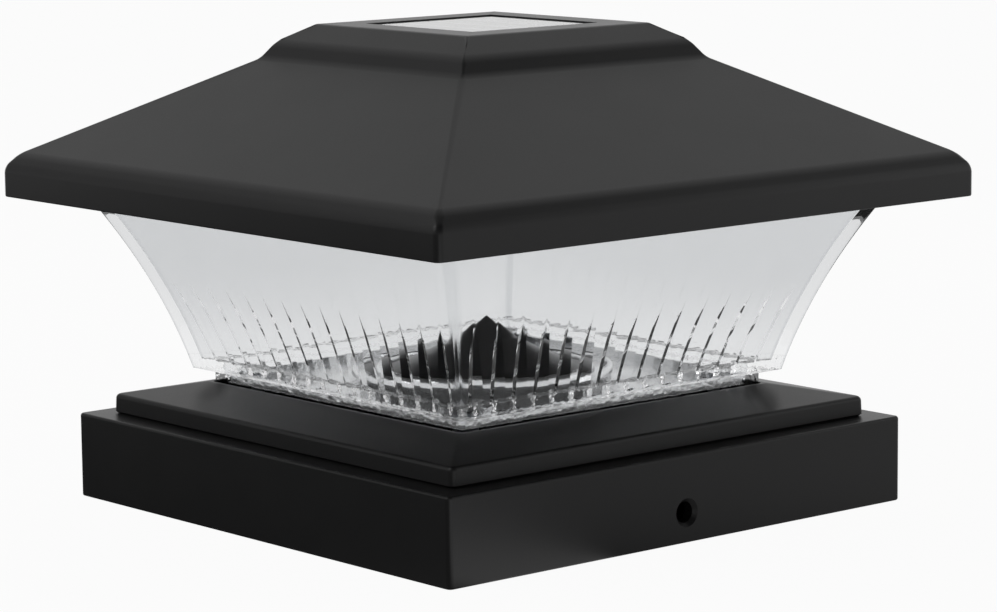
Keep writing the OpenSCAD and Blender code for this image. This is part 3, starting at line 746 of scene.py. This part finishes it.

# %% [markdown]
# ## Clear and mirrored parts
#
# The lens is clear acrylic. Glass made by refraction needs a closed wall, which the lens
# has: light bends on its way in and on its way out. Its index is set well below the real
# 1.49, because a renderer ends long paths of light inside a wall in black, and black bars
# would stand at every corner. A grey tint in its upper part makes up for the haze of the
# real one, its corners get a darker tint, which is painted shade, and its foot is pebbled.
# The mirror is metal film on plastic, so it is bright but not quite flat, and the cone's
# tip is coloured dark, a painted reflection of the roof's black underside.

# %% Clear lens, mirror, diode and panel cover
pebble_size = 1.2 * mm
# painted_corner_shade is painted shade: a darker tint along the lens's upright corners
foot_tint, painted_corner_shade = (0.87, 0.875, 0.88), (0.74, 0.75, 0.76)


def clear_acrylic(spot):
    x, y, z = place(spot)
    haze = noise(spot, 6 * mm)
    x, y = size_of(x), size_of(y)
    corner = ramp_between(smaller(x, y) / larger(x, y), 0.965, 0.98)
    upper = ramp_between(z, shelf_z, flute_top_z)
    tint = colours(spot, haze, (0.775, 0.783, 0.791), (0.805, 0.812, 0.82))
    tint = colours(spot, upper, foot_tint, tint)
    pebbles = noise(spot, pebble_size) * (z < shelf_z + 0.5 * mm)
    return {
        # the darker colour at the corners is painted shade
        "Base Color": colours(spot, corner, tint, painted_corner_shade),
        "Roughness": between(0.015, 0.05, haze) + 0.12 * corner,
        "Normal": grain(spot, pebbles, 0.25 * mm),
    }


def metal_film(spot):
    flow = noise(spot, 4 * mm)
    pebbles = noise(spot, 1.3 * mm)
    # the dark tip is a painted reflection of the roof's black underside
    painted_dark_tip = reach_from_axis(spot) < painted_dark_tip_r
    bright = colours(spot, flow, (0.90, 0.905, 0.91), (0.95, 0.955, 0.96))
    return {
        "Base Color": colours(spot, painted_dark_tip, bright, (0.03, 0.03, 0.031)),
        "Roughness": between(0.2, 0.28, painted_dark_tip) + 0.06 * flow,
        "Metallic": between(0.85, 0.1, painted_dark_tip),
        "Normal": grain(spot, pebbles * (1 - painted_dark_tip), 0.12 * mm),
    }


def cast_resin(spot):
    cloud = noise(spot, 1.2 * mm)
    return {
        "Base Color": colours(spot, cloud, (0.90, 0.89, 0.80), (0.95, 0.94, 0.88)),
        "Roughness": between(0.08, 0.2, cloud),
    }


def panel_glass(spot):
    sheen = noise(spot, 3 * mm)
    return {
        "Base Color": colours(spot, sheen, (0.90, 0.93, 0.95), (0.94, 0.96, 0.97)),
        "Roughness": between(0.03, 0.09, sheen),
    }


new_finish("clear_plastic", "clear acrylic", clear_acrylic, Transmission_Weight=1.0, IOR=1.14)
new_finish("mirror_coat", "metal film", metal_film)
new_finish("led_resin", "cast resin", cast_resin, Transmission_Weight=0.9, IOR=1.54)
new_finish("panel_cover", "panel glass", panel_glass, Transmission_Weight=1.0, IOR=1.5)

# %% [markdown]
# ## The solar panel
#
# Silicon is almost black blue. Fine silver fingers cross each cell every millimetre and a
# half, and wider bars gather their current. They are drawn by comparing a repeating
# coordinate with a width. The board under the cells is a pale laminate with a weave.

# %% Silicon and laminates
finger_pitch = 1.45 * mm
bar_pitch = 6.7 * mm
crystal_size = 2.2 * mm
thread_size = 0.4 * mm


def silicon(spot):
    x, y, _ = place(spot)
    crystal = spot.node("TexVoronoi", None, {"Vector": spot, "Scale": 1 / crystal_size}, out=1)
    shade = crystal.node("RGBToBW", None, {0: crystal})
    lines = larger(stripes(y, finger_pitch, 0.07), stripes(x, bar_pitch, 0.1))
    blue = colours(spot, shade, (0.008, 0.014, 0.045), (0.018, 0.028, 0.085))
    return {
        "Base Color": colours(spot, lines, blue, (0.55, 0.56, 0.58)),
        "Roughness": between(0.22, 0.4, lines),
        "Metallic": 0.7 * lines,
    }


def wave(value, size):
    turn = value / size
    return turn.maths("SINE", turn)


def weave(spot):
    x, y, _ = place(spot)
    threads = 0.5 + 0.5 * wave(x, thread_size) * wave(y, thread_size)
    return {
        "Base Color": colours(spot, threads, (0.62, 0.64, 0.65), (0.72, 0.74, 0.74)),
        "Roughness": between(0.4, 0.55, threads),
        "Normal": grain(spot, threads, 0.02 * mm),
    }


def solder_mask(spot):
    x, y, _ = place(spot)
    tracks = larger(stripes(x + y, 2.4 * mm, 0.22), stripes(y, 5.3 * mm, 0.12))
    patch = noise(spot, 2.5 * mm) > 0.5
    copper = tracks * patch
    mask = noise(spot, 0.6 * mm)
    green = colours(spot, mask, (0.008, 0.085, 0.03), (0.012, 0.12, 0.045))
    return {
        "Base Color": colours(spot, 0.6 * copper, green, (0.05, 0.24, 0.08)),
        "Roughness": between(0.22, 0.36, mask),
        "Normal": grain(spot, copper, 0.03 * mm),
    }


new_finish("solar_silicon", "silicon", silicon)
new_finish("panel_laminate", "woven laminate", weave)
new_finish("board_laminate", "solder mask", solder_mask, Coat_Weight=0.3)

# %% [markdown]
# ## Metals
#
# All metals here are shop parts: zinc on the screws, nickel on the contacts, tin on the
# switch, drawn steel on the battery. They differ in tint, in how rough they are, and in
# the marks that the making leaves.

# %% Screws, contacts, can and switch
shine = 1.12     # how much brighter a metal is between its marks


def metal(tint, rough, mark_size, mark_depth):
    """The paint of a bare metal: a tint, a roughness, and marks of a size and depth."""
    def paint(spot):
        marks = noise(spot, mark_size, 4)
        bright = tuple(min(1, shine * c) for c in tint)
        return {
            "Base Color": colours(spot, marks, tint, bright),
            "Roughness": between(rough, rough + 0.14, marks),
            "Normal": grain(spot, marks, mark_depth),
        }
    return paint


for slot, name, tint, rough, mark_size, mark_depth in [
        ("steel", "zinc", (0.52, 0.53, 0.56), 0.24, 0.5 * mm, 0.006 * mm),
        ("contact_metal", "nickel", (0.62, 0.59, 0.52), 0.2, 0.3 * mm, 0.004 * mm),
        ("cell_steel", "drawn steel", (0.6, 0.6, 0.61), 0.16, 1.1 * mm, 0.003 * mm),
        ("switch_case", "tin", (0.56, 0.57, 0.58), 0.3, 0.8 * mm, 0.01 * mm)]:
    new_finish(slot, name, metal(tint, rough, mark_size, mark_depth), Metallic=1.0)

# %% [markdown]
# ## Small plastics, rubber and leads
#
# Moulded and dipped things share one recipe: a colour that varies a little, a roughness,
# and a fine grain.

# %% Rubber, nylon and leads
dimmed = 0.8     # how dark a moulded colour gets, as a share of its tint


def moulded(tint, rough, size, depth):
    """The paint of a coloured plastic or rubber."""
    def paint(spot):
        cloud = noise(spot, size, 3)
        dark = tuple(dimmed * c for c in tint)
        return {
            "Base Color": colours(spot, cloud, dark, tint),
            "Roughness": between(rough, rough + 0.12, cloud),
            "Normal": grain(spot, cloud, depth),
        }
    return paint


for slot, name, tint, rough, size, depth in [
        ("seal_rubber", "rubber", (0.022, 0.022, 0.023), 0.62, 0.4 * mm, 0.02 * mm),
        ("switch_white", "white nylon", (0.72, 0.72, 0.69), 0.36, 0.6 * mm, 0.01 * mm),
        ("wire_red", "red lead", (0.5, 0.018, 0.014), 0.36, 0.5 * mm, 0.01 * mm),
        ("wire_black", "black lead", (0.02, 0.02, 0.02), 0.36, 0.5 * mm, 0.01 * mm),
        ("wire_yellow", "yellow lead", (0.6, 0.42, 0.03), 0.36, 0.5 * mm, 0.01 * mm)]:
    new_finish(slot, name, moulded(tint, rough, size, depth))

# %% [markdown]
# Foam has cells instead of a grain. The battery's sleeve has a pale band along its length.
# The board's small parts are one mesh, so their colours are told apart by where they
# stand: a choke and a capacitor at the two ends of the front row, and tan chips behind.

# %% Foam, sleeve and board parts
band_pitch, band_share = 60 * mm, 0.16
row_y = -9.5 * mm
row_end = 5 * mm
foam_cell = 0.45 * mm


def foam_cells(spot):
    cells = spot.node("TexVoronoi", None, {"Vector": spot, "Scale": 1 / foam_cell})
    return {
        "Base Color": colours(spot, cells, (0.012, 0.012, 0.012), (0.05, 0.05, 0.05)),
        "Roughness": between(0.85, 0.95, cells),
        "Normal": grain(spot, cells, 0.08 * mm),
    }


def shrink_sleeve(spot):
    x, _, _ = place(spot)
    cloud = noise(spot, 1.5 * mm)
    band = stripes(x, band_pitch, band_share)
    green = colours(spot, cloud, (0.01, 0.14, 0.05), (0.014, 0.17, 0.06))
    return {
        "Base Color": colours(spot, band, green, (0.5, 0.52, 0.5)),
        "Roughness": between(0.2, 0.32, cloud),
        "Normal": grain(spot, cloud, 0.02 * mm),
    }


def mixed_parts(spot):
    x, y, _ = place(spot)
    cloud = noise(spot, 0.7 * mm)
    near_row = y < row_y
    choke = (x > row_end) * near_row
    storage = (x < -row_end) * near_row
    chips = (x < -row_end) * (1 - near_row)
    body = colours(spot, cloud, (0.008, 0.008, 0.009), (0.016, 0.016, 0.017))
    body = colours(spot, choke, body, (0.03, 0.22, 0.12))
    body = colours(spot, storage, body, (0.02, 0.03, 0.16))
    return {
        "Base Color": colours(spot, chips, body, (0.5, 0.4, 0.26)),
        "Roughness": between(0.3, 0.5, cloud),
        "Normal": grain(spot, cloud, 0.01 * mm),
    }


new_finish("foam", "foam", foam_cells)
new_finish("cell_sleeve", "shrink sleeve", shrink_sleeve)
new_finish("board_parts", "mixed parts", mixed_parts)

# %% [markdown]
# ## Giving every part its finish
#
# The record of the light names a finish slot for each of its parts. Every finish above is
# filed under the same name, so a part only has to look its own up.

# %% Paint all parts
def paint_with(piece, slot):
    piece.data.materials.clear()
    piece.data.materials.append(finishes[slot])


for part in frame["record"]["subparts"]:
    paint_with(nodes[part["node"]], part["material_slot"])
for piece, slot in shells:
    paint_with(piece, slot)

# %% [markdown]
# ## A white tent
#
# The background of the photograph is pure white, the light's top is lit softly, and its
# two near sides stay dark, because the room in front of it is dark. The floor and the
# world show white to the camera and through the lens. Reflections see a floor and a world
# that are bright behind the light, half as bright on its right, and almost black in front.

# %% Which rays see what
def seen_directly(tree):
    """1 for what the camera sees, by itself or through clear parts, and 0 for other rays."""
    path = tree.nodes.new("ShaderNodeLightPath")
    glossy = smaller(Wire(path.outputs["Glossy Depth"]), 1.0)
    seen = Wire(path.outputs["Is Camera Ray"]) + Wire(path.outputs["Transmission Depth"])
    return (1 - 0.1 * glossy) * smaller(seen, 1.0)


def seen_mirrored(tree):
    """1 for reflections, and 0 for other rays."""
    return Wire(tree.nodes.new("ShaderNodeLightPath").outputs["Is Glossy Ray"])


away = Vector((0.652, 0.758, 0.0))     # level direction from the camera to the light
right = Vector((0.758, -0.652, 0.0))


def toward(direction_wire, direction):
    """How far a direction points along another one, from -1 to 1."""
    return direction_wire.node("VectorMath", {"operation": "DOT_PRODUCT"},
                               {0: direction_wire, 1: direction}, out=1)


# %% [markdown]
# The floor is one square face just below the skirt. It is part of the stage, not of the
# light.

# %% Lay the floor
floor_half = 3.0
floor_bm = bmesh.new()
bmesh.ops.create_grid(floor_bm, x_segments=1, y_segments=1, size=floor_half,
                      matrix=Matrix.Translation((0, 0, skirt_low - 0.05 * mm)))
floor_mesh = bpy.data.meshes.new("floor")
floor_bm.to_mesh(floor_mesh)
floor_bm.free()
floor = bpy.data.objects.new("floor", floor_mesh)
bpy.context.scene.collection.objects.link(floor)
print("floor:", 2 * floor_half, "m wide")

# %% [markdown]
# To the camera the floor glows white, with a little of its own shading for the soft
# shadow. To reflections it glows by a level that depends on the place: full behind the
# light and in front of its near corner, half at the right. Under the skirt it is plain
# paper, so that the fixing holes stay dark.

# %% Light the floor
near_corner = Vector((-0.5, -0.866, 0.0))
shown_share = 0.955     # how much of the floor's look is glow, the rest is lit paper

floor_finish = bpy.data.materials.new("white floor")
floor_finish.use_nodes = True
tree = floor_finish.node_tree
tree.nodes.clear()
spot = Wire(tree.nodes.new("ShaderNodeTexCoord").outputs["Object"])
paper = spot.node("BsdfDiffuse", None, {"Color": (0.8, 0.8, 0.8, 1)})
glow = spot.node("Emission", None, {"Color": (1, 1, 1, 1), "Strength": 1.0})
bearing = spot.node("VectorMath", {"operation": "NORMALIZE"}, {0: spot})
behind = ramp_between(toward(spot, away), 0.03, 0.4)
beside = ramp_between(toward(spot, right), -0.05, 0.12)
near = ramp_between(toward(bearing, near_corner), 0.965, 0.99)
in_front = 1 - ramp_between(toward(spot, away), -0.25, -0.08)
far_right = ramp_between(toward(spot, right), 0.35, 0.5) * in_front
level = smaller(0.05 + 0.9 * (behind + near) + 0.42 * beside + 0.5 * far_right, 1.0)
dim = spot.node("Emission", None, {"Color": (1, 1, 1, 1), "Strength": level})
shown = spot.node("MixShader", None, {0: shown_share, 1: paper, 2: glow})
x, y, _ = place(spot)
outside_skirt = larger(size_of(x), size_of(y)) > socket_half
mirrored, direct = seen_mirrored(tree) * outside_skirt, seen_directly(tree) * outside_skirt
plain = spot.node("MixShader", None, {0: mirrored, 1: paper, 2: dim})
surface = spot.node("MixShader", None, {0: direct, 1: plain, 2: shown})
tree.links.new(surface.socket, tree.nodes.new("ShaderNodeOutputMaterial").inputs["Surface"])
floor_mesh.materials.append(floor_finish)
print("floor finish:", len(tree.nodes), "nodes")

# %% [markdown]
# The world's level is a sum of soft lobes: a low band all round, a broad one over the back
# that the roof's slopes mirror, and more behind and beside the light.

# %% Light the world
over_the_back = 0.8 * away + Vector((0, 0, 0.6))
shown_white = 0.965     # the world's white, the same as the floor's

world = bpy.data.worlds.new("tent")
bpy.context.scene.world = world
world.use_nodes = True
tree = world.node_tree
background = tree.nodes["Background"]
direction = Wire(tree.nodes.new("ShaderNodeTexCoord").outputs["Generated"])
up = toward(direction, Vector((0, 0, 1)))
low = 1 - ramp_between(up, 0.2, 0.55)
behind = ramp_between(toward(direction, away), 0.45, 0.8)
beside = ramp_between(toward(direction, right), 0.3, 0.95)
over_back = ramp_between(toward(direction, over_the_back), 0.5, 0.95)
to_right = ramp_between(toward(direction, right), -0.2, 0.25)
level = 0.04 + (0.46 + 0.17 * to_right) * over_back + (0.3 + 0.4 * behind + 0.1 * beside) * low
level = smaller(level, 1.0)
seen = seen_directly(tree)
tree.links.new((shown_white * seen + (1 - seen) * level).socket, background.inputs["Strength"])
background.inputs["Color"].default_value = (1, 1, 1, 1)
print("world:", len(tree.nodes), "nodes")

# %% [markdown]
# ## Lamps
#
# A wide soft lamp hangs on the left, out of line with the near corners, so that no bright
# spot runs over them. A tall narrow one stands on the right, in front. Both are weak,
# because the shells show mostly what they mirror, and neither shows itself to the camera.

# %% Hang the lamps
lamp_target = Vector((0, 0, 0.05))


def lamp(name, spot, width, height, power):
    data = bpy.data.lights.new(name, "AREA")
    data.shape = "RECTANGLE"
    data.size = width
    data.size_y = height
    data.energy = power
    made = bpy.data.objects.new(name, data)
    turn = (lamp_target - Vector(spot)).to_track_quat("-Z", "Y").to_matrix().to_4x4()
    made.matrix_world = Matrix.Translation(spot) @ turn
    made.visible_camera = False
    bpy.context.scene.collection.objects.link(made)
    print(name + ":", power, "W")


lamp("top lamp", (-0.6, 0.25, 0.6), 0.5, 0.5, 1.4)
lamp("side lamp", (0.62, -0.42, 0.3), 0.12, 0.6, 0.4)

# %% [markdown]
# ## Finish
#
# The view transform is plain, so a white of 1 is white.

# %% Settle the view
bpy.context.scene.view_settings.view_transform = "Standard"
